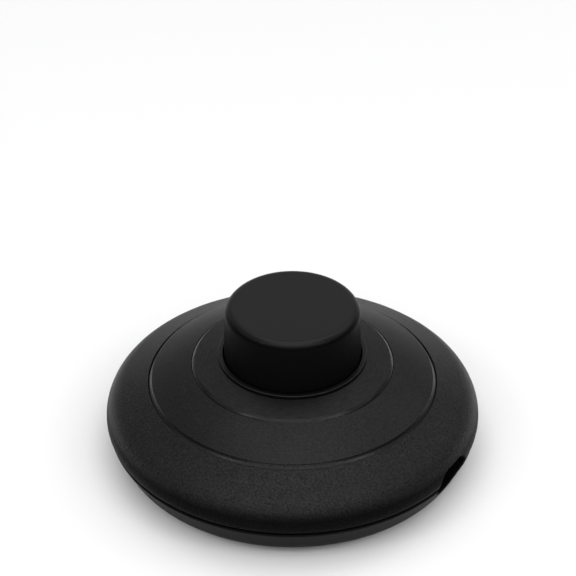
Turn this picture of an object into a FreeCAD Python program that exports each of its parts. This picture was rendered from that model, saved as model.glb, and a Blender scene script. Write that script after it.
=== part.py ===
import FreeCAD, Part
import math
import os
import re

import Sketcher

# Round in-line foot switch for a lamp cord. Z = 0 is the floor under the rubber feet,
# +Z is up, and the cord runs along X through the two entries. Millimetres and degrees.

SIZES = [
    # Housing, outside
    ("rim_radius", 31.5),
    ("rim_height", 7.85),
    ("rim_round", 4.8),
    ("rim_under_round", 2.2),
    ("seam_tuck", 28.0),
    ("seam_gap", 0.55),
    ("seam_depth", 1.2),
    ("seat_width", 1.1),
    ("edge_round", 0.25),
    ("outer_slope", 25.6),
    ("middle_slope", 23.5),
    ("inner_slope", 14.5),
    ("crown_radius", 60.0),
    ("outer_groove_radius", 23.62),
    ("outer_groove_width", 0.65),
    ("outer_groove_drop", 0.57),
    ("outer_groove_curve", 2.0),
    ("outer_groove_lip", 0.18),
    ("inner_groove_radius", 16.4),
    ("inner_groove_width", 0.55),
    ("inner_groove_drop", 0.48),
    ("inner_groove_curve", 2.0),
    ("inner_groove_lip", 0.15),
    ("hole_radius", 11.55),
    ("collar_width", 0.9),
    ("collar_height", 0.63),
    ("collar_round", 0.2),
    ("cover_wall", 2.2),
    ("stop_wall", 1.5),
    # Base
    ("foot_proud", 0.5),
    ("base_round", 4.35),
    ("base_slope", 26.5),
    ("floor_wall", 2.0),
    ("lip_wall", 1.3),
    ("lip_height", 2.4),
    ("lip_clearance", 0.3),
    # Cord entries and cord grips
    ("cord_width", 8.6),
    ("cord_height", 5.4),
    ("clamp_inset", 12.5),
    ("clamp_clearance", 0.3),
    ("clamp_side_gap", 0.4),
    ("clamp_post_radius", 2.3),
    ("clamp_post_height", 5.1),
    ("clamp_bar_width", 5.0),
    ("clamp_bar_thickness", 2.4),
    ("clamp_ridge_depth", 1.0),
    ("clamp_ridge_width", 2.0),
    ("saddle_height", 0.9),
    ("clamp_head_radius", 2.1),
    ("clamp_head_height", 1.5),
    ("clamp_shank_radius", 1.15),
    ("clamp_shank_length", 6.0),
    # Button
    ("button_height", 29.2),
    ("button_round", 1.6),
    ("button_draft", 1.65),
    ("button_wall", 2.0),
    ("button_roof", 2.3),
    ("button_clearance", 0.12),
    ("travel", 3.5),
    ("flange_width", 1.4),
    ("flange_thickness", 1.6),
    ("flange_clearance", 0.3),
    ("guide_wall", 1.5),
    ("guide_spare", 0.9),
    ("key_width", 1.6),
    ("key_depth", 1.1),
    ("key_clearance", 0.25),
    ("sleeve_radius", 7.2),
    ("sleeve_wall", 2.3),
    ("sleeve_lift", 0.8),
    ("button_rib", 1.2),
    ("button_rib_depth", 6.0),
    # Ratchet rotor and its post
    ("post_radius", 2.0),
    ("post_clearance", 0.05),
    ("post_rise", 4.5),
    ("boss_radius", 3.6),
    ("boss_height", 1.9),
    ("hub_radius", 3.0),
    ("hub_height", 0.6),
    ("drum_radius", 8.0),
    ("drum_height", 3.5),
    ("tooth_radius", 7.5),
    ("tooth_width", 2.6),
    ("tooth_count", 8.0),
    ("tooth_span", 38.0),
    ("press_turn", 30.0),
    ("leg_lead", 0.5),
    ("leg_span", 22.0),
    ("leg_clearance", 0.4),
    # Spring
    ("spring_radius", 3.5),
    ("spring_wire", 0.4),
    ("spring_turns", 6.0),
    ("washer_thickness", 0.5),
    ("washer_margin", 0.7),
    # Contacts and terminals
    ("cross_sheet", 0.4),
    ("cross_arm", 3.0),
    ("cross_disc", 5.0),
    ("cross_tab", 3.0),
    ("cross_clearance", 0.05),
    ("contact_gap", 0.35),
    ("leaf_sheet", 0.4),
    ("leaf_height", 3.0),
    ("leaf_tail", 3.0),
    ("leaf_clearance", 0.3),
    ("rivet_radius", 1.0),
    ("rivet_proud", 0.2),
    ("terminal_sheet", 0.8),
    ("terminal_pad", 6.0),
    ("terminal_reach", 15.0),
    ("neutral_reach", 14.0),
    ("neutral_spread", 8.0),
    ("pedestal_radius", 2.8),
    ("pedestal_height", 3.5),
    ("wire_washer_radius", 2.7),
    ("wire_washer_thickness", 0.5),
    ("terminal_head_radius", 2.2),
    ("terminal_head_height", 1.6),
    ("terminal_shank_radius", 1.3),
    ("terminal_shank_length", 4.5),
    # Housing screws and feet
    ("screw_reach", 22.6),
    ("pillar_radius", 4.2),
    ("pillar_height", 3.5),
    ("screw_boss_radius", 3.2),
    ("head_seat", 2.7),
    ("head_clearance", 0.3),
    ("screw_head_radius", 2.7),
    ("screw_head_height", 1.7),
    ("screw_shank_radius", 1.5),
    ("screw_shank_length", 8.8),
    ("hole_clearance", 0.2),
    ("pilot_clearance", 0.05),
    ("pilot_spare", 0.6),
    ("slot_width", 0.7),
    ("slot_depth", 0.7),
    ("foot_radius", 4.5),
    ("foot_thickness", 1.5),
    ("foot_bevel", 0.3),
    ("foot_clearance", 0.2),
    ("foot_reach", 20.5),
]

FEET = 4
RAMP_STEPS = 4
TURN_STEPS = 14
WIRE_SIDES = 8

doc = FreeCAD.newDocument("lamp_foot_switch")
sheet = doc.addObject("Spreadsheet::Sheet", "Sizes")
for row, (alias, number) in enumerate(SIZES, start=1):
    sheet.set(f"A{row}", alias)
    sheet.set(f"B{row}", str(number))
    sheet.setAlias(f"B{row}", alias)
doc.recompute()


# Heights and radii that follow from the sizes, as expressions on the sheet

BASE_UNDERSIDE = "foot_proud"
FLOOR = "(foot_proud + floor_wall)"
SEAM_RADIUS = "(rim_radius - rim_under_round * (1 - cos(seam_tuck)))"
COVER_EDGE = "(rim_height - rim_under_round * sin(seam_tuck))"
BASE_EDGE = f"({COVER_EDGE} - seam_gap)"
SEAT_RADIUS = f"({SEAM_RADIUS} - seam_depth)"
LIP_RADIUS = f"({SEAT_RADIUS} - seat_width - lip_clearance)"
LIP_TOP = f"({BASE_EDGE} + lip_height)"
CORD_AXIS = f"({COVER_EDGE} - seam_gap / 2)"
ENTRY_ROUND = "(0.8 * edge_round)"

RIM_CENTRE = "(rim_radius - rim_round)"
RIM_TOP_RADIUS = f"({RIM_CENTRE} + rim_round * sin(outer_slope))"
RIM_TOP = "(rim_height + rim_round * cos(outer_slope))"
OUTER_GROOVE_END = "(outer_groove_radius + outer_groove_width)"
OUTER_BAND_TOP = f"({RIM_TOP} + ({RIM_TOP_RADIUS} - {OUTER_GROOVE_END}) * tan(outer_slope))"
MIDDLE_BAND_FOOT = f"({OUTER_BAND_TOP} + outer_groove_drop)"
INNER_GROOVE_END = "(inner_groove_radius + inner_groove_width)"
MIDDLE_BAND_TOP = f"({MIDDLE_BAND_FOOT} + (outer_groove_radius - {INNER_GROOVE_END}) * tan(middle_slope))"
INNER_BAND_FOOT = f"({MIDDLE_BAND_TOP} + inner_groove_drop)"
COLLAR_RADIUS = "(hole_radius + collar_width)"
INNER_BAND_TOP = f"({INNER_BAND_FOOT} + (inner_groove_radius - {COLLAR_RADIUS}) * tan(inner_slope))"
COLLAR_TOP = f"({INNER_BAND_TOP} + collar_height)"

STOP_FACE = f"({INNER_BAND_FOOT} - stop_wall)"
DRAFT_WIDENING = f"(({COLLAR_TOP} - {STOP_FACE}) * tan(button_draft))"
HOLE_FOOT_RADIUS = f"(hole_radius + {DRAFT_WIDENING})"
BUTTON_FOOT_RADIUS = f"({HOLE_FOOT_RADIUS} - button_clearance)"
BUTTON_SHOULDER = "(button_height - button_round)"
BUTTON_RADIUS = f"({BUTTON_FOOT_RADIUS} - ({BUTTON_SHOULDER} - {STOP_FACE}) * tan(button_draft))"
FLANGE_RADIUS = f"({BUTTON_FOOT_RADIUS} + flange_width)"
FLANGE_FOOT = f"({STOP_FACE} - flange_thickness)"
GUIDE_RADIUS = f"({FLANGE_RADIUS} + flange_clearance)"
GUIDE_OUTSIDE = f"({GUIDE_RADIUS} + guide_wall)"
GUIDE_FOOT = f"({FLANGE_FOOT} - travel - guide_spare)"
KEY_RADIUS = f"({GUIDE_RADIUS} - key_depth)"

HUB_FOOT = f"({FLOOR} + boss_height)"
DRUM_FOOT = f"({HUB_FOOT} + hub_height)"
DRUM_TOP = f"({DRUM_FOOT} + drum_height)"
POST_TOP = f"({DRUM_TOP} + post_rise)"
BORE_RADIUS = "(post_radius + post_clearance)"
TOOTH_HEIGHT = "(travel * tooth_span / press_turn)"
TOOTH_INSIDE = "(tooth_radius - tooth_width)"
SLEEVE_FOOT = f"({DRUM_TOP} + {TOOTH_HEIGHT} + travel + sleeve_lift)"
BUTTON_CEILING = "(button_height - button_roof)"
SPRING_FOOT = f"({DRUM_TOP} + washer_thickness)"

PEDESTAL_TOP = f"({FLOOR} + pedestal_height)"
TERMINAL_TOP = f"({PEDESTAL_TOP} + terminal_sheet)"
WIRE_WASHER_TOP = f"({TERMINAL_TOP} + wire_washer_thickness)"
TAB_RADIUS = "(drum_radius + cross_clearance + cross_sheet)"
RIVET_FACE = f"({TAB_RADIUS} + contact_gap)"
LEAF_FACE = f"({RIVET_FACE} + rivet_proud)"
LEAF_FOOT = f"({PEDESTAL_TOP} + terminal_sheet / 2 - leaf_height / 2)"
TERMINAL_X = f"({LEAF_FACE} + leaf_sheet + leaf_clearance + max(pedestal_radius; wire_washer_radius))"
CLAMP_NEAREST = f"({GUIDE_OUTSIDE} + clamp_clearance + clamp_bar_width / 2)"
CLAMP_REACH = f"max(rim_radius - clamp_inset; {CLAMP_NEAREST})"
CLAMP_SPREAD = "(cord_width / 2 + clamp_post_radius + clamp_side_gap)"
CLAMP_SEAT = f"({FLOOR} + clamp_post_height)"
CLAMP_TOP = f"({CLAMP_SEAT} + clamp_bar_thickness)"
PILLAR_TOP = f"({FLOOR} + pillar_height)"
HEAD_SEAT = "(foot_proud + head_seat)"

SIDES = (("left", -1), ("right", 1))
TERMINALS = [(f"{side} * {TERMINAL_X}", "terminal_reach") for name, side in SIDES]
TERMINALS += [(f"{side} * neutral_spread", "-neutral_reach") for name, side in SIDES]
CLAMP_SCREWS = [(f"{side} * {CLAMP_REACH}", f"{end} * {CLAMP_SPREAD}") for name, side in SIDES for end in (-1, 1)]
HOUSING_SCREWS = [("0", f"{end} * screw_reach") for end in (-1, 1)]
FOOT_ANGLES = [360.0 * (number + 0.5) / FEET for number in range(FEET)]


# Helpers

def bound(text):
    """The expression with each size led back to the sheet."""
    return re.sub(r"\b[a-z_]+\b(?!\()", r"Sizes.\g<0>", text)


def value(text):
    """The number that an expression on the sheet gives."""
    return float(sheet.evalExpression(text))


def new_body(label):
    body = doc.addObject("PartDesign::Body", label)
    body.Label = label
    return body


def origin_plane(body, role):
    return next(feature for feature in body.Origin.OriginFeatures if feature.Role == role)


def new_sketch(body, name, role="XY_Plane", height="0"):
    sketch = body.newObject("Sketcher::SketchObject", f"{body.Name}_{name}")
    sketch.AttachmentSupport = [(origin_plane(body, role), "")]
    sketch.MapMode = "FlatFace"
    sketch.setExpression("AttachmentOffset.Base.z", bound(height))
    return sketch


def hold_point(sketch, curve, end, across, up):
    """Ties a point of the sketch to its two coordinates on the sheet."""
    for kind, axis, text in (("DistanceX", -2, across), ("DistanceY", -1, up)):
        if text == "0":
            sketch.addConstraint(Sketcher.Constraint("PointOnObject", curve, end, axis))
            continue
        number = sketch.addConstraint(Sketcher.Constraint(kind, -1, 1, curve, end, value(text)))
        sketch.setExpression(f"Constraints[{number}]", bound(text))


def hold_radius(sketch, curve, text):
    number = sketch.addConstraint(Sketcher.Constraint("Radius", curve, value(text)))
    sketch.setExpression(f"Constraints[{number}]", bound(text))


def draw_circle(sketch, across, up, radius):
    centre = FreeCAD.Vector(value(across), value(up), 0)
    curve = sketch.addGeometry(Part.Circle(centre, FreeCAD.Vector(0, 0, 1), value(radius)), False)
    hold_point(sketch, curve, 3, across, up)
    hold_radius(sketch, curve, radius)


def arc_between(start, end, radius, turn):
    """The shorter arc from start to end, counterclockwise where turn is 1, and its start's index."""
    chord = end - start
    half = chord.Length / 2
    side = FreeCAD.Vector(-chord.y, chord.x, 0).normalize()
    centre = start + chord / 2 + side * (turn * math.sqrt(radius ** 2 - half ** 2))
    first, last = (start, end) if turn == 1 else (end, start)
    angles = [math.atan2(point.y - centre.y, point.x - centre.x) for point in (first, last)]
    circle = Part.Circle(centre, FreeCAD.Vector(0, 0, 1), radius)
    return Part.ArcOfCircle(circle, *angles), (1 if turn == 1 else 2)


def draw_outline(sketch, corners):
    """A closed outline. A corner is (across, up) before a straight run and
    (across, up, radius, turn) before an arc, where turn is 1 for counterclockwise."""
    points = [FreeCAD.Vector(value(corner[0]), value(corner[1]), 0) for corner in corners]
    ends = []
    for number, corner in enumerate(corners):
        start = points[number]
        end = points[(number + 1) % len(points)]
        if len(corner) == 2:
            curve = sketch.addGeometry(Part.LineSegment(start, end), False)
            first = 1
        else:
            arc, first = arc_between(start, end, value(corner[2]), corner[3])
            curve = sketch.addGeometry(arc, False)
        ends.append((curve, first, 3 - first))
    for number, (curve, first, last) in enumerate(ends):
        after, after_first, after_last = ends[(number + 1) % len(ends)]
        sketch.addConstraint(Sketcher.Constraint("Coincident", curve, last, after, after_first))
    for (curve, first, last), corner in zip(ends, corners):
        hold_point(sketch, curve, first, corner[0], corner[1])
        if len(corner) == 4:
            hold_radius(sketch, curve, corner[2])


def rectangle(low_x, low_y, high_x, high_y):
    return [(low_x, low_y), (high_x, low_y), (high_x, high_y), (low_x, high_y)]


def pad(body, sketch, length):
    feature = body.newObject("PartDesign::Pad", f"{sketch.Name}_pad")
    feature.Profile = sketch
    feature.setExpression("Length", bound(length))
    return feature


def pad_circles(body, name, places, radius, height, length):
    sketch = new_sketch(body, name, height=height)
    for across, up in places:
        draw_circle(sketch, across, up, radius)
    return pad(body, sketch, length)


def pocket(body, sketch, length, upward=False):
    feature = body.newObject("PartDesign::Pocket", f"{sketch.Name}_pocket")
    feature.Profile = sketch
    feature.setExpression("Length", bound(length))
    feature.Reversed = upward
    return feature


def pocket_circles(body, name, places, radius, height, length, upward=False):
    sketch = new_sketch(body, name, height=height)
    for across, up in places:
        draw_circle(sketch, across, up, radius)
    return pocket(body, sketch, length, upward)


def revolve(body, name, corners, kind="Revolution"):
    """Turns an outline given as (radius, height) about Z; kind Groove cuts instead."""
    sketch = new_sketch(body, name, role="XZ_Plane")
    draw_outline(sketch, corners)
    feature = body.newObject(f"PartDesign::{kind}", f"{sketch.Name}_{kind.lower()}")
    feature.Profile = sketch
    feature.ReferenceAxis = (sketch, ["V_Axis"])
    feature.Angle = 360.0
    return feature


def round_edges(body, places, radius):
    """Rounds the full circles that lie at the given (radius, height) places."""
    doc.recompute()
    base = body.Tip
    names = []
    for number, edge in enumerate(base.Shape.Edges, start=1):
        if not isinstance(edge.Curve, Part.Circle):
            continue
        for across, up in places:
            if abs(edge.Curve.Radius - value(across)) + abs(edge.Curve.Center.z - value(up)) < 0.001:
                names.append(f"Edge{number}")
    feature = body.newObject("PartDesign::Fillet", f"{body.Name}_edges")
    feature.Base = (base, names)
    feature.setExpression("Radius", bound(radius))
    return feature


def put(piece, across="0", up="0", height="0", angle=0.0):
    piece.Placement = FreeCAD.Placement(FreeCAD.Vector(), FreeCAD.Rotation(angle, 0, 0))
    for axis, text in (("x", across), ("y", up), ("z", height)):
        piece.setExpression(f"Placement.Base.{axis}", bound(text))
    return piece


def fuse(label, pieces):
    joined = doc.addObject("Part::MultiFuse", label)
    joined.Label = label
    joined.Shapes = pieces
    joined.Refine = True
    return joined


def group(label, pieces):
    together = doc.addObject("Part::Compound", label)
    together.Label = label
    together.Links = pieces
    return together


def around(reach, angle):
    """Place on a circle of that reach, at an angle in degrees."""
    return f"{reach} * cos({angle})", f"{reach} * sin({angle})"


# Outline of the cover

def skin(depth):
    """Corners of the dome at a depth below its outside, from the rim up to the inner band."""
    return [
        (f"({RIM_TOP_RADIUS} - {depth} * sin(outer_slope))", f"({RIM_TOP} - {depth} * cos(outer_slope))"),
        (f"(outer_groove_radius - {depth} * sin(middle_slope))",
         f"({MIDDLE_BAND_FOOT} - {depth} * cos(middle_slope))"),
        (f"(inner_groove_radius - {depth} * sin(inner_slope))",
         f"({INNER_BAND_FOOT} - {depth} * cos(inner_slope))"),
    ]


def cover_outline():
    wall_low, wall_middle, wall_high = skin("cover_wall")
    skirt = f"({LIP_RADIUS} + lip_clearance)"
    return [
        (HOLE_FOOT_RADIUS, STOP_FACE),
        ("hole_radius", f"{COLLAR_TOP} - collar_round", "collar_round", -1),
        ("hole_radius + collar_round", COLLAR_TOP),
        (f"{COLLAR_RADIUS} - collar_round", COLLAR_TOP, "collar_round", -1),
        (COLLAR_RADIUS, f"{COLLAR_TOP} - collar_round"),
        (COLLAR_RADIUS, INNER_BAND_TOP),
        ("inner_groove_radius", INNER_BAND_FOOT, "inner_groove_curve", -1),
        (INNER_GROOVE_END, f"{MIDDLE_BAND_TOP} - inner_groove_lip"),
        (INNER_GROOVE_END, MIDDLE_BAND_TOP, "crown_radius", -1),
        ("outer_groove_radius", MIDDLE_BAND_FOOT, "outer_groove_curve", 1),
        (OUTER_GROOVE_END, f"{OUTER_BAND_TOP} - outer_groove_lip"),
        (OUTER_GROOVE_END, OUTER_BAND_TOP),
        (RIM_TOP_RADIUS, RIM_TOP, "rim_round", -1),
        ("rim_radius", "rim_height", "rim_under_round", -1),
        (SEAM_RADIUS, COVER_EDGE),
        (SEAT_RADIUS, COVER_EDGE),
        (SEAT_RADIUS, BASE_EDGE),
        (skirt, BASE_EDGE),
        (skirt, f"({wall_low[1]} - ({skirt} - {wall_low[0]}))"),
        wall_low,
        wall_middle,
        wall_high,
        (GUIDE_OUTSIDE, wall_high[1]),
        (GUIDE_OUTSIDE, GUIDE_FOOT),
        (GUIDE_RADIUS, GUIDE_FOOT),
        (GUIDE_RADIUS, STOP_FACE),
    ]


def cut_cord_entries(body):
    """An oval way through both sides of the housing, on the seam."""
    sketch = new_sketch(body, "cord_entries", role="YZ_Plane")
    flat = "(cord_width / 2 - cord_height / 2)"
    low = f"{CORD_AXIS} - cord_height / 2"
    high = f"{CORD_AXIS} + cord_height / 2"
    middle = CORD_AXIS
    reach = "cord_width / 2"
    draw_outline(sketch, [
        (f"-{flat}", low),
        (flat, low, "cord_height / 2", 1),
        (reach, middle, "cord_height / 2", 1),
        (flat, high),
        (f"-{flat}", high, "cord_height / 2", 1),
        (f"-{reach}", middle, "cord_height / 2", 1),
    ])
    feature = pocket(body, sketch, "4 * rim_radius")
    feature.Midplane = True
    round_entry_edges(body)


def round_entry_edges(body):
    """Rounds the edges that the cord entries leave on the outside of the housing."""
    doc.recompute()
    base = body.Tip
    outside = value(f"{SEAM_RADIUS} - seam_depth / 2")
    half_width = value("cord_width / 2") + 0.001
    names = []
    for number, edge in enumerate(base.Shape.Edges, start=1):
        middle = edge.valueAt((edge.FirstParameter + edge.LastParameter) / 2)
        upright = edge.BoundBox.ZLength > 0.001
        if upright and abs(middle.y) < half_width and math.hypot(middle.x, middle.y) > outside:
            names.append(f"Edge{number}")
    feature = body.newObject("PartDesign::Fillet", f"{body.Name}_entry_edges")
    feature.Base = (base, names)
    feature.setExpression("Radius", bound(ENTRY_ROUND))


def make_top_cover():
    body = new_body("top_cover")
    pad_circles(body, "bosses", HOUSING_SCREWS, "screw_boss_radius", PILLAR_TOP,
                f"{COLLAR_TOP} - {PILLAR_TOP}")
    middle = skin("cover_wall / 2")
    revolve(body, "boss_tops", [
        ("0", f"{COLLAR_TOP} + cover_wall"),
        ("0", middle[2][1]),
        middle[2],
        middle[1],
        middle[0],
        ("rim_radius", middle[0][1]),
        ("rim_radius", f"{COLLAR_TOP} + cover_wall"),
    ], kind="Groove")
    revolve(body, "shell", cover_outline())
    round_edges(body, [(SEAM_RADIUS, COVER_EDGE)], "edge_round")
    cut_cord_entries(body)
    sketch = new_sketch(body, "keys", height=GUIDE_FOOT)
    for end in (-1, 1):
        near = f"{end} * {KEY_RADIUS}"
        far = f"{end} * ({GUIDE_RADIUS} + guide_wall / 2)"
        draw_outline(sketch, rectangle("-key_width / 2", near, "key_width / 2", far))
    pad(body, sketch, f"{STOP_FACE} - {GUIDE_FOOT} + stop_wall / 2")
    pocket_circles(body, "pilots", HOUSING_SCREWS, "screw_shank_radius + pilot_clearance", PILLAR_TOP,
                   f"{HEAD_SEAT} + screw_shank_length + pilot_spare - {PILLAR_TOP}", upward=True)
    return body


def make_base_plate():
    body = new_body("base_plate")
    centre_height = "(foot_proud + base_round)"
    drop = f"({BASE_EDGE} - {centre_height})"
    round_centre = f"({SEAM_RADIUS} - (base_round + {drop} * sin(base_slope)) / cos(base_slope))"
    lip_inside = f"({LIP_RADIUS} - lip_wall)"
    revolve(body, "shell", [
        ("0", BASE_UNDERSIDE),
        (round_centre, BASE_UNDERSIDE, "base_round", 1),
        (f"({round_centre} + base_round * cos(base_slope))",
         f"({centre_height} - base_round * sin(base_slope))"),
        (SEAM_RADIUS, BASE_EDGE),
        (LIP_RADIUS, BASE_EDGE),
        (LIP_RADIUS, LIP_TOP),
        (lip_inside, LIP_TOP),
        (lip_inside, FLOOR),
        ("0", FLOOR),
    ])
    round_edges(body, [(SEAM_RADIUS, BASE_EDGE)], "edge_round")
    cut_cord_entries(body)
    pad_circles(body, "rotor_boss", [("0", "0")], "boss_radius", FLOOR, "boss_height")
    pad_circles(body, "rotor_post", [("0", "0")], "post_radius", FLOOR, f"{POST_TOP} - {FLOOR}")
    pad_circles(body, "pillars", HOUSING_SCREWS, "pillar_radius", FLOOR, "pillar_height")
    pad_circles(body, "pedestals", TERMINALS, "pedestal_radius", FLOOR, "pedestal_height")
    pad_circles(body, "clamp_posts", CLAMP_SCREWS, "clamp_post_radius", FLOOR, "clamp_post_height")
    saddles = new_sketch(body, "saddles", height=FLOOR)
    for name, side in SIDES:
        low = f"{side} * {CLAMP_REACH} - clamp_ridge_width / 2"
        high = f"{side} * {CLAMP_REACH} + clamp_ridge_width / 2"
        draw_outline(saddles, rectangle(low, "-cord_width / 2", high, "cord_width / 2"))
    pad(body, saddles, "saddle_height")
    pocket_circles(body, "terminal_pilots", TERMINALS, "terminal_shank_radius + pilot_clearance", PEDESTAL_TOP,
                   f"terminal_shank_length + pilot_spare - {WIRE_WASHER_TOP} + {PEDESTAL_TOP}")
    pocket_circles(body, "clamp_pilots", CLAMP_SCREWS, "clamp_shank_radius + pilot_clearance", CLAMP_SEAT,
                   "clamp_shank_length + pilot_spare - clamp_bar_thickness")
    pocket_circles(body, "head_recesses", HOUSING_SCREWS, "screw_head_radius + head_clearance",
                   BASE_UNDERSIDE, "head_seat", upward=True)
    pocket_circles(body, "screw_holes", HOUSING_SCREWS, "screw_shank_radius + hole_clearance",
                   BASE_UNDERSIDE, f"{PILLAR_TOP} - {BASE_UNDERSIDE}", upward=True)
    pocket_circles(body, "foot_recesses", [around("foot_reach", angle) for angle in FOOT_ANGLES],
                   "foot_radius + foot_clearance", BASE_UNDERSIDE, "foot_thickness - foot_proud", upward=True)
    return body


# Ramps of the ratchet

def ramp_block(start, span, inner, outer, height_at, other_end):
    """A block round Z over an angle, between a helical face and a flat end."""
    sections = []
    for step in range(RAMP_STEPS + 1):
        angle = math.radians(start + span * step / RAMP_STEPS)
        across = FreeCAD.Vector(math.cos(angle), math.sin(angle), 0)
        ramp = FreeCAD.Vector(0, 0, height_at(start + span * step / RAMP_STEPS))
        flat = FreeCAD.Vector(0, 0, other_end)
        corners = [across * inner + flat, across * outer + flat, across * outer + ramp, across * inner + ramp]
        sections.append(Part.makePolygon(corners + corners[:1]))
    return Part.makeLoft(sections, True, True)


def ring_of_blocks(name, block, count):
    feature = doc.addObject("Part::Feature", name)
    axis = FreeCAD.Vector(0, 0, 1)
    copies = []
    for number in range(count):
        copy = block.copy()
        copy.rotate(FreeCAD.Vector(), axis, 360.0 * number / count)
        copies.append(copy)
    feature.Shape = Part.makeCompound(copies)
    return feature


def ramp_height(angle):
    """Height of a tooth's ramp, which climbs by the travel in each turn of one press."""
    return value(DRUM_TOP) + angle * value("travel / press_turn")


def make_ratchet_rotor():
    drum = new_body("rotor_drum")
    revolve(drum, "profile", [
        (BORE_RADIUS, HUB_FOOT),
        ("hub_radius", HUB_FOOT),
        ("hub_radius", DRUM_FOOT),
        ("drum_radius", DRUM_FOOT),
        ("drum_radius", DRUM_TOP),
        (BORE_RADIUS, DRUM_TOP),
    ])
    root = value(f"{DRUM_TOP} - drum_height / 4")
    tooth = ramp_block(0.0, value("tooth_span"), value(TOOTH_INSIDE), value("tooth_radius"), ramp_height, root)
    teeth = ring_of_blocks("rotor_teeth", tooth, round(value("tooth_count")))
    return fuse("ratchet_rotor", [drum, teeth])


def make_push_button():
    cap = new_body("button_cap")
    inside = f"({BUTTON_RADIUS} - button_wall)"
    bore = "(sleeve_radius - sleeve_wall)"
    revolve(cap, "profile", [
        ("0", "button_height"),
        (f"{BUTTON_RADIUS} - button_round", "button_height", "button_round", -1),
        (BUTTON_RADIUS, BUTTON_SHOULDER),
        (BUTTON_FOOT_RADIUS, STOP_FACE),
        (FLANGE_RADIUS, STOP_FACE),
        (FLANGE_RADIUS, FLANGE_FOOT),
        (inside, FLANGE_FOOT),
        (inside, BUTTON_CEILING),
        ("sleeve_radius", BUTTON_CEILING),
        ("sleeve_radius", SLEEVE_FOOT),
        (bore, SLEEVE_FOOT),
        (bore, BUTTON_CEILING),
        ("0", BUTTON_CEILING),
    ])
    ribs = new_sketch(cap, "ribs", height=f"{BUTTON_CEILING} - button_rib_depth")
    for side in (-1, 1):
        near = f"{side} * (sleeve_radius - sleeve_wall / 2)"
        far = f"{side} * ({BUTTON_RADIUS} - button_wall / 2)"
        draw_outline(ribs, rectangle(near, "-button_rib / 2", far, "button_rib / 2"))
        draw_outline(ribs, rectangle("-button_rib / 2", near, "button_rib / 2", far))
    pad(cap, ribs, "button_rib_depth + button_roof / 2")
    slots = new_sketch(cap, "key_slots", height=STOP_FACE)
    half = "(key_width / 2 + key_clearance)"
    for end in (-1, 1):
        near = f"{end} * ({KEY_RADIUS} - key_clearance)"
        far = f"{end} * ({FLANGE_RADIUS} + flange_clearance)"
        draw_outline(slots, rectangle(f"-{half}", near, half, far))
    pocket(cap, slots, "flange_thickness")
    clear = value("leg_clearance")
    leg = ramp_block(
        value("press_turn + leg_lead"), value("leg_span"), value(bore), value("sleeve_radius"),
        lambda angle: ramp_height(angle) + clear, value(f"{SLEEVE_FOOT} + sleeve_wall"),
    )
    legs = ring_of_blocks("button_legs", leg, round(value("tooth_count")) // 2)
    return fuse("push_button", [cap, legs])


def make_contact_cross():
    body = new_body("contact_cross")
    foot = f"{DRUM_FOOT} - cross_sheet"
    pad_circles(body, "disc", [("0", "0")], "cross_disc", foot, "cross_sheet")
    arm = new_sketch(body, "arm", height=foot)
    draw_outline(arm, rectangle("cross_disc / 2", "-cross_arm / 2", TAB_RADIUS, "cross_arm / 2"))
    arm_pad = pad(body, arm, "cross_sheet")
    tab = new_sketch(body, "tab", height=foot)
    draw_outline(tab, rectangle(f"{TAB_RADIUS} - cross_sheet", "-cross_arm / 2", TAB_RADIUS, "cross_arm / 2"))
    tab_pad = pad(body, tab, "cross_tab")
    pattern = body.newObject("PartDesign::PolarPattern", "contact_cross_arms")
    pattern.Originals = [arm_pad, tab_pad]
    pattern.Axis = (arm, ["N_Axis"])
    pattern.Angle = 360.0
    pattern.setExpression("Occurrences", bound("tooth_count / 2"))
    body.Tip = pattern
    pocket_circles(body, "hub_hole", [("0", "0")], "hub_radius + cross_clearance", foot,
                   "cross_sheet", upward=True)
    return put(body, angle=45.0)


# Fixed contacts and what holds the wires

def make_contact_strip(label, side):
    body = new_body(label)
    leaf_low, leaf_high = sorted((f"{side} * {LEAF_FACE}", f"{side} * ({LEAF_FACE} + leaf_sheet)"), key=value)
    plate_end = f"{side} * ({TERMINAL_X} + terminal_pad / 2)"
    plate_low, plate_high = sorted((f"{side} * {LEAF_FACE}", plate_end), key=value)
    plate_near = "terminal_reach - terminal_pad / 2"
    plate = new_sketch(body, "plate", height=PEDESTAL_TOP)
    draw_outline(plate, rectangle(plate_low, plate_near, plate_high, "terminal_reach + terminal_pad / 2"))
    draw_circle(plate, f"{side} * {TERMINAL_X}", "terminal_reach", "terminal_shank_radius + hole_clearance")
    pad(body, plate, "terminal_sheet")
    leaf = new_sketch(body, "leaf", height=LEAF_FOOT)
    draw_outline(leaf, rectangle(leaf_low, "-leaf_tail", leaf_high, "terminal_reach"))
    pad(body, leaf, "leaf_height")
    rivet = new_sketch(body, "rivet", role="YZ_Plane", height=f"{side} * {RIVET_FACE}")
    draw_circle(rivet, "0", f"{LEAF_FOOT} + leaf_height / 2", "rivet_radius")
    head = pad(body, rivet, "2 * rivet_proud + leaf_sheet")
    head.Reversed = side < 0
    return body


def make_neutral_link():
    body = new_body("neutral_link")
    plate = new_sketch(body, "plate", height=PEDESTAL_TOP)
    end = "(neutral_spread + terminal_pad / 2)"
    draw_outline(plate, rectangle(f"-{end}", "-neutral_reach - terminal_pad / 2",
                                  end, "terminal_pad / 2 - neutral_reach"))
    for across, up in TERMINALS[2:]:
        draw_circle(plate, across, up, "terminal_shank_radius + hole_clearance")
    pad(body, plate, "terminal_sheet")
    return body


def make_ring(label, hole, outside, thickness):
    body = new_body(label)
    sketch = new_sketch(body, "ring")
    draw_circle(sketch, "0", "0", outside)
    draw_circle(sketch, "0", "0", hole)
    pad(body, sketch, thickness)
    return body


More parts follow.
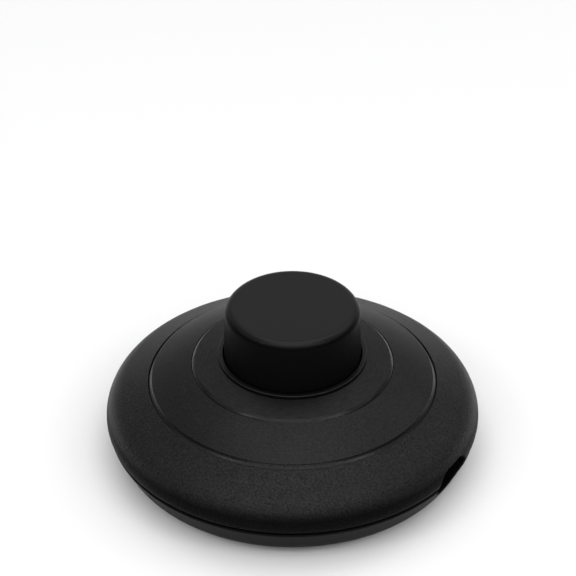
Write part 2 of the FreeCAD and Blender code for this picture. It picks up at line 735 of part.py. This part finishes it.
def make_screw(label, kind):
    """A slotted pan-head screw with its seat at Z = 0 and its shank below."""
    body = new_body(label)
    head, height = f"{kind}_head_radius", f"{kind}_head_height"
    shank, length = f"{kind}_shank_radius", f"{kind}_shank_length"
    revolve(body, "profile", [
        ("0", f"-{length}"),
        (f"{shank} / 2", f"-{length}"),
        (shank, f"{shank} / 2 - {length}"),
        (shank, "0"),
        (head, "0"),
        (head, f"{height} / 2"),
        (f"{head} - {height} / 2", height),
        ("0", height),
    ])
    slot = new_sketch(body, "slot", height=height)
    draw_outline(slot, rectangle(f"-{head}", "-slot_width / 2", head, "slot_width / 2"))
    pocket(body, slot, "slot_depth")
    return body


def make_screws(label, kind, places, seat, upright=True):
    screws = []
    for number, (across, up) in enumerate(places, start=1):
        screw = put(make_screw(f"{kind}_screw_{number}", kind), across, up, seat)
        if not upright:
            screw.Placement.Rotation = FreeCAD.Rotation(FreeCAD.Vector(1, 0, 0), 180)
        screws.append(screw)
    return group(label, screws)


def make_cord_clamp(label, side):
    body = new_body(label)
    half = "(clamp_bar_width / 2)"
    reach = f"({CLAMP_SPREAD} + {half})"
    bar = new_sketch(body, "bar")
    draw_outline(bar, [
        (half, f"-{CLAMP_SPREAD}"),
        (half, CLAMP_SPREAD, half, 1),
        ("0", reach, half, 1),
        (f"-{half}", CLAMP_SPREAD),
        (f"-{half}", f"-{CLAMP_SPREAD}", half, 1),
        ("0", f"-{reach}", half, 1),
    ])
    for end in (-1, 1):
        draw_circle(bar, "0", f"{end} * {CLAMP_SPREAD}", "clamp_shank_radius + hole_clearance")
    pad(body, bar, "clamp_bar_thickness")
    ridge = new_sketch(body, "ridge")
    draw_outline(ridge, rectangle("-clamp_ridge_width / 2", "-cord_width / 2",
                                  "clamp_ridge_width / 2", "cord_width / 2"))
    grip = pad(body, ridge, "clamp_ridge_depth")
    grip.Reversed = True
    return put(body, across=f"{side} * {CLAMP_REACH}", height=CLAMP_SEAT)


def make_return_spring():
    """A coil spring of eight-sided wire, with its two ends ground flat."""
    foot, top = value(SPRING_FOOT), value(BUTTON_CEILING)
    mean, wire = value("spring_radius"), value("spring_wire")
    count = round(value("spring_turns") * TURN_STEPS)
    sections = []
    for step in range(count + 1):
        angle = 2 * math.pi * step / TURN_STEPS
        middle = foot + (top - foot) * step / count
        corners = []
        for side in range(WIRE_SIDES):
            lean = 2 * math.pi * (side + 0.5) / WIRE_SIDES
            reach = mean + wire * math.cos(lean)
            height = min(max(middle + wire * math.sin(lean), foot), top)
            corners.append(FreeCAD.Vector(reach * math.cos(angle), reach * math.sin(angle), height))
        sections.append(Part.makePolygon(corners + corners[:1]))
    spring = doc.addObject("Part::Feature", "return_spring")
    spring.Shape = Part.makeLoft(sections, True, True)
    return spring


def make_rubber_foot(number, angle):
    body = new_body(f"rubber_foot_{number}")
    revolve(body, "profile", [
        ("0", "0"),
        ("foot_radius - foot_bevel", "0"),
        ("foot_radius", "foot_bevel"),
        ("foot_radius", "foot_thickness"),
        ("0", "foot_thickness"),
    ])
    return put(body, *around("foot_reach", angle))


def make_parts():
    washers = []
    for number, (across, up) in enumerate(TERMINALS, start=1):
        washer = make_ring(f"wire_washer_{number}", "terminal_shank_radius + hole_clearance",
                           "wire_washer_radius", "wire_washer_thickness")
        washers.append(put(washer, across, up, TERMINAL_TOP))
    spring_washer = make_ring("spring_washer", "post_radius + hole_clearance",
                              "spring_radius + spring_wire + washer_margin", "washer_thickness")
    parts = [
        make_top_cover(),
        make_base_plate(),
        make_push_button(),
        make_ratchet_rotor(),
        make_contact_cross(),
        make_contact_strip("contact_strip_in", -1),
        make_contact_strip("contact_strip_out", 1),
        make_neutral_link(),
        make_screws("terminal_screws", "terminal", TERMINALS, WIRE_WASHER_TOP),
        group("terminal_washers", washers),
        make_screws("clamp_screws", "clamp", CLAMP_SCREWS, CLAMP_TOP),
        make_screws("housing_screws", "screw", HOUSING_SCREWS, HEAD_SEAT, upright=False),
        make_return_spring(),
        put(spring_washer, height=DRUM_TOP),
    ]
    parts += [make_cord_clamp(f"cord_clamp_{name}", side) for name, side in SIDES]
    parts += [make_rubber_foot(number, angle) for number, angle in enumerate(FOOT_ANGLES, start=1)]
    return parts


def write_parts(parts):
    doc.recompute()
    for item in doc.Objects:
        if "Invalid" in item.State or "Error" in item.State:
            raise RuntimeError(f"{item.Label} failed: {item.State}")
    for part in parts:
        if part.Shape.isNull() or not part.Shape.isValid() or not part.Shape.Solids:
            raise RuntimeError(f"{part.Label} has no valid solid")
    os.makedirs("parts", exist_ok=True)
    for part in parts:
        part.Shape.exportStep(f"parts/{part.Label}.step")
        print(f"{part.Label}: {len(part.Shape.Solids)} solids, {part.Shape.Volume:.1f} mm3")


write_parts(make_parts())
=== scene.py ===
import functools
import math

import bpy
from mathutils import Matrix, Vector


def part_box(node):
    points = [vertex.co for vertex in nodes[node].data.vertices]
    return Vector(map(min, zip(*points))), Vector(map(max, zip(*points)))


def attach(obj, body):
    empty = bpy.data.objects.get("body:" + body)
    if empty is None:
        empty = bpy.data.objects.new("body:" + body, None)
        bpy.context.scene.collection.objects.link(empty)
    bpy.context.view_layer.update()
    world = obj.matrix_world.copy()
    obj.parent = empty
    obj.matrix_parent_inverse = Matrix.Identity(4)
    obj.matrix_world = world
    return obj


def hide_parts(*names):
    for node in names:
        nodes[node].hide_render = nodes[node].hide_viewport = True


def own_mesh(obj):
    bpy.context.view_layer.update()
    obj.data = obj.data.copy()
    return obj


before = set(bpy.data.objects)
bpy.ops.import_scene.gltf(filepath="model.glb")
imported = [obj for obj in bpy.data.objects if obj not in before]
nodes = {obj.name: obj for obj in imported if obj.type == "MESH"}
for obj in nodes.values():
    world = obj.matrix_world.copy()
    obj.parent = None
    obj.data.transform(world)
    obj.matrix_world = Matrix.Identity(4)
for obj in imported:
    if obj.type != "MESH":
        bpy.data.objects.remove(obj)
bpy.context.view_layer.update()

MM = 0.001

# Viewpoint of the photograph, fitted to the outline of the housing and button
IMAGE_SIDE = 576
AIM_PIXEL = (292.5, 396.0)
AIM_HEIGHT = 10.5 * MM
FOCAL_PIXELS = 2314.4
CAMERA_AZIMUTH = math.radians(32.0)
CAMERA_ELEVATION = math.radians(37.6)
CAMERA_DISTANCE = 391.5 * MM
SENSOR_WIDTH = 36.0

# Inner and outer radius of the cover's two grooves, where its finish changes, and the width of that change
INNER_GROOVE = (16.4 * MM, 16.95 * MM)
OUTER_GROOVE = (23.62 * MM, 24.27 * MM)
ZONE_EDGE = 0.2 * MM

# Return spring, as in the CAD but of round wire: radius of the coil and of its wire, number of turns,
# steps in a turn and sides of the wire
SPRING_RADIUS = 3.5 * MM
SPRING_WIRE = 0.4 * MM
SPRING_TURNS = 6
TURN_STEPS = 48
WIRE_SIDES = 16

# Reflectance of the black plastics, and the share of it on the base
PLASTIC_SPECULAR = 0.22
BASE_SHARE = 0.3

# Darkest and lightest colour of the materials inside
NYLON = ((0.62, 0.58, 0.5), (0.74, 0.71, 0.63))
STEEL = ((0.5, 0.5, 0.49), (0.66, 0.66, 0.64))
SPRING_STEEL = ((0.4, 0.4, 0.41), (0.55, 0.55, 0.56))
BRASS = ((0.6, 0.42, 0.17), (0.76, 0.58, 0.28))

# Softboxes: name, turn from straight behind the object to the right, height angle, width, height, watts
LAMPS = [
    ("zenith", 0.0, 88.0, 0.9, 0.9, 3.8),
    ("front_over", 180.0, 50.0, 1.2, 0.9, 5.6),
    ("back_mid", 0.0, 46.0, 0.9, 0.75, 0.6),
    ("right_high", 60.0, 45.0, 0.5, 0.5, 0.7),
    ("left_side", -108.0, 36.0, 0.9, 0.4, 0.9),
    ("right_side", 108.0, 36.0, 0.9, 0.4, 0.9),
    ("left_spot", -125.0, 42.0, 0.2, 0.2, 0.5),
    ("right_spot", 125.0, 42.0, 0.2, 0.2, 0.5),
]
LAMP_DISTANCE = 1.0

# Brightness of the studio on the camera's side and on the far side, and where it changes between them
WORLD_FRONT = 0.11
WORLD_BACK = 0.42
WORLD_CHANGE = (-0.2, 0.5)

FLOOR_REACH = 3.0


# Node building

class Graph:
    """A material's nodes, made by short calls."""

    def __init__(self, name):
        self.material = bpy.data.materials.new(name)
        self.material.use_nodes = True
        self.tree = self.material.node_tree
        self.shader = self.tree.nodes["Principled BSDF"]
        self.place = self.add("ShaderNodeTexCoord").outputs["Object"]

    def add(self, kind, **settings):
        node = self.tree.nodes.new(kind)
        for key, setting in settings.items():
            setattr(node, key, setting)
        return node

    def join(self, source, target):
        if isinstance(source, (int, float)):
            target.default_value = source
        else:
            self.tree.links.new(source, target)

    def math(self, operation, *inputs):
        node = self.add("ShaderNodeMath", operation=operation)
        for source, socket in zip(inputs, node.inputs):
            self.join(source, socket)
        return node.outputs["Value"]

    def total(self, *sources):
        return functools.reduce(functools.partial(self.math, "ADD"), sources)

    def product(self, *sources):
        return functools.reduce(functools.partial(self.math, "MULTIPLY"), sources)

    def less(self, source, taken):
        return self.math("SUBTRACT", source, taken)

    def ramp(self, source, low, high, to_low=0.0, to_high=1.0):
        """Smooth step of a value from one level to another."""
        node = self.add("ShaderNodeMapRange", interpolation_type="SMOOTHSTEP")
        for key, number in (("From Min", low), ("From Max", high), ("To Min", to_low), ("To Max", to_high)):
            node.inputs[key].default_value = number
        self.join(source, node.inputs["Value"])
        return node.outputs["Result"]

    def noise(self, size, detail=2.0, roughness=0.5, place=None):
        """Noise whose features are about the given size in metres."""
        node = self.add("ShaderNodeTexNoise")
        node.inputs["Scale"].default_value = 1.0 / size
        node.inputs["Detail"].default_value = detail
        node.inputs["Roughness"].default_value = roughness
        self.join(place or self.place, node.inputs["Vector"])
        return node.outputs["Fac"]

    def split(self, vector):
        """The X, Y and Z of a vector."""
        node = self.add("ShaderNodeSeparateXYZ")
        self.join(vector, node.inputs["Vector"])
        return node.outputs

    def radius(self):
        """Distance from the Z axis."""
        flat = self.add("ShaderNodeVectorMath", operation="MULTIPLY")
        flat.inputs[1].default_value = (1.0, 1.0, 0.0)
        self.join(self.place, flat.inputs[0])
        length = self.add("ShaderNodeVectorMath", operation="LENGTH")
        self.join(flat.outputs["Vector"], length.inputs[0])
        return length.outputs["Value"]

    def around(self, radius, stretch):
        """Place by radius and by the turn round the Z axis, at a length for each radian."""
        across = self.split(self.place)
        turn = self.math("ARCTAN2", across["Y"], across["X"])
        place = self.add("ShaderNodeCombineXYZ")
        self.join(radius, place.inputs["X"])
        self.join(self.product(turn, stretch), place.inputs["Y"])
        return place.outputs["Vector"]

    def band(self, source, ends, soft=0.1 * MM):
        """One between the two ends and nothing outside them."""
        rise = self.ramp(source, ends[0] - soft, ends[0])
        return self.less(rise, self.ramp(source, ends[1], ends[1] + soft))

    def painted_shade_gloss(self, level, steep, turn):
        """Reflectance that falls to a share of its level on steep walls, which paints shade on walls that
        face sideways, away from the light above. The turn gives the two upward parts of the normal between
        which it falls."""
        # Painted shade: the reflectance follows the surface's facing, not the material
        upward = self.split(self.add("ShaderNodeNewGeometry").outputs["Normal"])["Z"]
        return self.ramp(upward, *turn, steep * level, level)

    def blend(self, share, dark, light):
        """Colour between two colours."""
        node = self.add("ShaderNodeMix", data_type="RGBA")
        colour_inputs = [socket for socket in node.inputs if socket.type == "RGBA"]
        colour_inputs[0].default_value = (*dark, 1.0)
        colour_inputs[1].default_value = (*light, 1.0)
        self.join(share, node.inputs["Factor"])
        return [socket for socket in node.outputs if socket.type == "RGBA"][0]

    def bump(self, height, depth):
        node = self.add("ShaderNodeBump")
        node.inputs["Strength"].default_value = 1.0
        node.inputs["Distance"].default_value = depth
        self.join(height, node.inputs["Height"])
        return node.outputs["Normal"]

    def finish(self, colour, roughness, normal=None, specular=0.5, metallic=0.0):
        sockets = self.shader.inputs
        self.join(colour, sockets["Base Color"])
        self.join(roughness, sockets["Roughness"])
        self.join(specular, sockets["Specular IOR Level"])
        self.join(metallic, sockets["Metallic"])
        if normal is not None:
            self.join(normal, sockets["Normal"])
        return self.material


def grey(level):
    """A grey with a trace of blue."""
    return (level, level, level * 1.02)


# Materials

def cover_material():
    """Moulded black plastic: spark texture outside the outer groove, finer between the grooves, and
    smoother with short turning marks inside the inner groove. The grooves are polished."""
    graph = Graph("cover_black_plastic")
    radius = graph.radius()
    outer = graph.ramp(radius, OUTER_GROOVE[1], OUTER_GROOVE[1] + ZONE_EDGE)
    middle = graph.ramp(radius, INNER_GROOVE[1], INNER_GROOVE[1] + ZONE_EDGE)
    inside = graph.less(1.0, middle)
    polish = graph.total(graph.band(radius, INNER_GROOVE), graph.band(radius, OUTER_GROOVE))
    grain = graph.noise(0.3 * MM, detail=2.0, roughness=0.6)
    fine = graph.noise(0.16 * MM, detail=1.5)
    mottle = graph.noise(6.0 * MM, detail=3.0)
    marks = graph.noise(0.22 * MM, detail=3.0, place=graph.around(radius, stretch=2.0 * MM))

    # Relief of each zone, with none in the grooves
    relief = graph.total(
        graph.product(grain, outer),
        graph.product(fine, middle, 0.3),
        graph.product(marks, inside, 0.12),
    )
    normal = graph.bump(graph.product(relief, graph.less(1.0, polish)), depth=0.1 * MM)

    # Speckle of the reflection, strongest in the outer zone
    strength = graph.total(0.4, graph.product(middle, 1.1), graph.product(outer, 1.15))
    speckle = graph.total(
        1.0,
        graph.product(graph.less(grain, 0.5), strength),
        graph.product(graph.less(marks, 0.5), inside, 1.2),
        graph.product(graph.less(mottle, 0.5), 0.25),
    )
    # Reflectance cut to a small share on steep walls and the rim's underside, a painted shade of the light
    # from above, times the speckle of the grain
    painted_shade_gloss = graph.product(graph.painted_shade_gloss(PLASTIC_SPECULAR, steep=0.12, turn=(0.25, 0.6)), speckle)

    shade = graph.total(graph.product(mottle, 0.5), graph.product(grain, 0.5))
    colour = graph.blend(shade, grey(0.002), grey(0.004))
    roughness = graph.total(0.36, graph.product(grain, 0.1), graph.product(polish, -0.16))
    return graph.finish(colour, roughness, normal, painted_shade_gloss)


def base_material():
    """Moulded black plastic with a spark texture."""
    graph = Graph("base_black_plastic")
    grain = graph.noise(0.3 * MM, detail=2.5, roughness=0.6)
    mottle = graph.noise(6.0 * MM, detail=3.0)
    colour = graph.blend(mottle, grey(0.002), grey(0.004))
    roughness = graph.total(0.4, graph.product(grain, 0.12))
    normal = graph.bump(grain, depth=0.06 * MM)
    return graph.finish(colour, roughness, normal, BASE_SHARE * PLASTIC_SPECULAR)


def button_material():
    """Smooth satin black plastic with a very fine grain."""
    graph = Graph("button_black_plastic")
    fine = graph.noise(0.12 * MM, detail=2.0)
    mottle = graph.noise(5.0 * MM, detail=3.0)
    colour = graph.blend(mottle, grey(0.002), grey(0.003))
    roughness = graph.total(0.3, graph.product(mottle, 0.08))
    normal = graph.bump(fine, depth=0.006 * MM)
    # Reflectance cut to a small share on the button's side wall, a painted shade of the light from above
    painted_shade_gloss = graph.painted_shade_gloss(PLASTIC_SPECULAR, steep=0.1, turn=(0.5, 0.95))
    return graph.finish(colour, roughness, normal, painted_shade_gloss)


def rubber_material():
    graph = Graph("foot_rubber")
    grain = graph.noise(0.25 * MM, detail=3.0)
    colour = graph.blend(grain, grey(0.02), grey(0.035))
    roughness = graph.total(0.7, graph.product(grain, 0.2))
    return graph.finish(colour, roughness, graph.bump(grain, depth=0.02 * MM))


def moulded_material(name, dark, light, roughness_low):
    graph = Graph(name)
    fine = graph.noise(0.2 * MM, detail=2.0)
    mottle = graph.noise(3.0 * MM, detail=3.0)
    colour = graph.blend(mottle, dark, light)
    roughness = graph.total(roughness_low, graph.product(mottle, 0.15))
    return graph.finish(colour, roughness, graph.bump(fine, depth=0.008 * MM))


def metal_material(name, dark, light, roughness_low, streak):
    """Rolled, drawn or plated metal with streaks that are narrowest along one direction."""
    graph = Graph(name)
    stretch = graph.add("ShaderNodeVectorMath", operation="MULTIPLY")
    stretch.inputs[1].default_value = streak
    graph.join(graph.place, stretch.inputs[0])
    streaks = graph.noise(0.2 * MM, detail=3.0, place=stretch.outputs["Vector"])
    tarnish = graph.noise(2.5 * MM, detail=4.0)
    colour = graph.blend(tarnish, dark, light)
    roughness = graph.total(roughness_low, graph.product(streaks, 0.18))
    return graph.finish(colour, roughness, graph.bump(streaks, depth=0.004 * MM), metallic=1.0)


def dress(names, material):
    for name in names:
        mesh = nodes[name].data
        mesh.materials.clear()
        mesh.materials.append(material)


def dress_all():
    feet = [name for name in nodes if name.startswith("rubber_foot")]
    clamps = ["cord_clamp_left", "cord_clamp_right"]
    steel = ["terminal_screws", "terminal_washers", "clamp_screws", "housing_screws", "spring_washer"]
    brass = ["contact_cross", "contact_strip_in", "contact_strip_out", "neutral_link"]
    dress(["top_cover"], cover_material())
    dress(["base_plate"], base_material())
    dress(["push_button"], button_material())
    dress(feet, rubber_material())
    dress(["ratchet_rotor"], moulded_material("natural_nylon", *NYLON, roughness_low=0.4))
    dress(clamps, moulded_material("clamp_grey_plastic", grey(0.09), grey(0.13), roughness_low=0.45))
    dress(steel, metal_material("plated_steel", *STEEL, roughness_low=0.25, streak=(1.0, 1.0, 4.0)))
    dress(brass, metal_material("stamped_brass", *BRASS, roughness_low=0.2, streak=(4.0, 1.0, 1.0)))


# Return spring

def spring_mesh(foot, top):
    """A coil of round wire between two heights, with its ends ground flat."""
    count = SPRING_TURNS * TURN_STEPS
    corners = []
    for step in range(count + 1):
        angle = 2 * math.pi * step / TURN_STEPS
        middle = foot + (top - foot) * step / count
        for side in range(WIRE_SIDES):
            lean = 2 * math.pi * side / WIRE_SIDES
            reach = SPRING_RADIUS + SPRING_WIRE * math.cos(lean)
            height = min(max(middle + SPRING_WIRE * math.sin(lean), foot), top)
            corners.append((reach * math.cos(angle), reach * math.sin(angle), height))
    rings = [range(step * WIRE_SIDES, (step + 1) * WIRE_SIDES) for step in range(count + 1)]
    faces = [tuple(rings[0]), tuple(reversed(rings[-1]))]
    for near, far in zip(rings, rings[1:]):
        for side in range(WIRE_SIDES):
            after = (side + 1) % WIRE_SIDES
            faces.append((near[side], far[side], far[after], near[after]))
    mesh = bpy.data.meshes.new("coil_spring")
    mesh.from_pydata(corners, [], faces)
    mesh.shade_smooth()
    return mesh


def make_spring():
    """Puts a round-wire spring in place of the CAD spring."""
    low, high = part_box("return_spring")
    foot, top = low[2], high[2]
    mesh = spring_mesh(foot, top)
    wire = metal_material("spring_wire", *SPRING_STEEL, roughness_low=0.2, streak=(1.0, 1.0, 6.0))
    mesh.materials.append(wire)
    spring = bpy.data.objects.new("coil_spring", mesh)
    bpy.context.scene.collection.objects.link(spring)
    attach(spring, "housing")
    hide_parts("return_spring")
    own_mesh(spring)


# Stage, light and camera

def make_floor():
    """A white floor that keeps the shadow."""
    corners = [(-1, -1), (1, -1), (1, 1), (-1, 1)]
    mesh = bpy.data.meshes.new("floor")
    mesh.from_pydata([(x * FLOOR_REACH, y * FLOOR_REACH, 0.0) for x, y in corners], [], [(0, 1, 2, 3)])
    floor = bpy.data.objects.new("floor", mesh)
    bpy.context.scene.collection.objects.link(floor)
    graph = Graph("floor_white")
    cloud = graph.noise(0.5, detail=2.0)
    colour = graph.blend(cloud, (0.95, 0.95, 0.95), (0.97, 0.97, 0.97))
    mesh.materials.append(graph.finish(colour, 0.9, specular=0.0))


def add_softbox(name, turn, rise, width, height, watts):
    """An area lamp aimed at the object; turn is measured from straight behind it to the right."""
    angle = math.pi / 2 + CAMERA_AZIMUTH - math.radians(turn)
    flat = math.cos(math.radians(rise))
    outward = Vector((math.cos(angle) * flat, math.sin(angle) * flat, math.sin(math.radians(rise))))
    lamp = bpy.data.lights.new(name, "AREA")
    lamp.shape = "RECTANGLE"
    lamp.size = width
    lamp.size_y = height
    lamp.energy = watts
    holder = bpy.data.objects.new(name, lamp)
    holder.location = outward * LAMP_DISTANCE
    holder.rotation_euler = (-outward).to_track_quat("-Z", "Y").to_euler()
    bpy.context.scene.collection.objects.link(holder)


def make_world():
    """A studio whose walls grow paler from the camera's side to the far side."""
    world = bpy.data.worlds.new("studio")
    bpy.context.scene.world = world
    world.use_nodes = True
    tree = world.node_tree
    background = tree.nodes["Background"]
    background.inputs["Color"].default_value = (1.0, 1.0, 1.0, 1.0)
    direction = tree.nodes.new("ShaderNodeTexCoord")
    away = tree.nodes.new("ShaderNodeVectorMath")
    away.operation = "DOT_PRODUCT"
    away.inputs[1].default_value = (-math.sin(CAMERA_AZIMUTH), math.cos(CAMERA_AZIMUTH), 0.0)
    level = tree.nodes.new("ShaderNodeMapRange")
    level.interpolation_type = "SMOOTHSTEP"
    level.inputs["From Min"].default_value = WORLD_CHANGE[0]
    level.inputs["From Max"].default_value = WORLD_CHANGE[1]
    level.inputs["To Min"].default_value = WORLD_FRONT
    level.inputs["To Max"].default_value = WORLD_BACK
    tree.links.new(direction.outputs["Generated"], away.inputs[0])
    tree.links.new(away.outputs["Value"], level.inputs["Value"])
    tree.links.new(level.outputs["Result"], background.inputs["Strength"])


def make_camera():
    camera = bpy.data.cameras.new("photo_camera")
    camera.sensor_width = SENSOR_WIDTH
    camera.lens = FOCAL_PIXELS * SENSOR_WIDTH / IMAGE_SIDE
    camera.shift_x = (IMAGE_SIDE / 2 - AIM_PIXEL[0]) / IMAGE_SIDE
    camera.shift_y = (AIM_PIXEL[1] - IMAGE_SIDE / 2) / IMAGE_SIDE
    camera.clip_start = 0.01
    back = Vector((
        math.sin(CAMERA_AZIMUTH) * math.cos(CAMERA_ELEVATION),
        -math.cos(CAMERA_AZIMUTH) * math.cos(CAMERA_ELEVATION),
        math.sin(CAMERA_ELEVATION),
    ))
    holder = bpy.data.objects.new("photo_camera", camera)
    holder.location = Vector((0.0, 0.0, AIM_HEIGHT)) + back * CAMERA_DISTANCE
    holder.rotation_euler = (-back).to_track_quat("-Z", "Y").to_euler()
    bpy.context.scene.collection.objects.link(holder)
    bpy.context.scene.camera = holder


dress_all()
make_spring()
make_floor()
make_world()
for softbox in LAMPS:
    add_softbox(*softbox)
make_camera()
bpy.context.scene.view_settings.view_transform = "Standard"
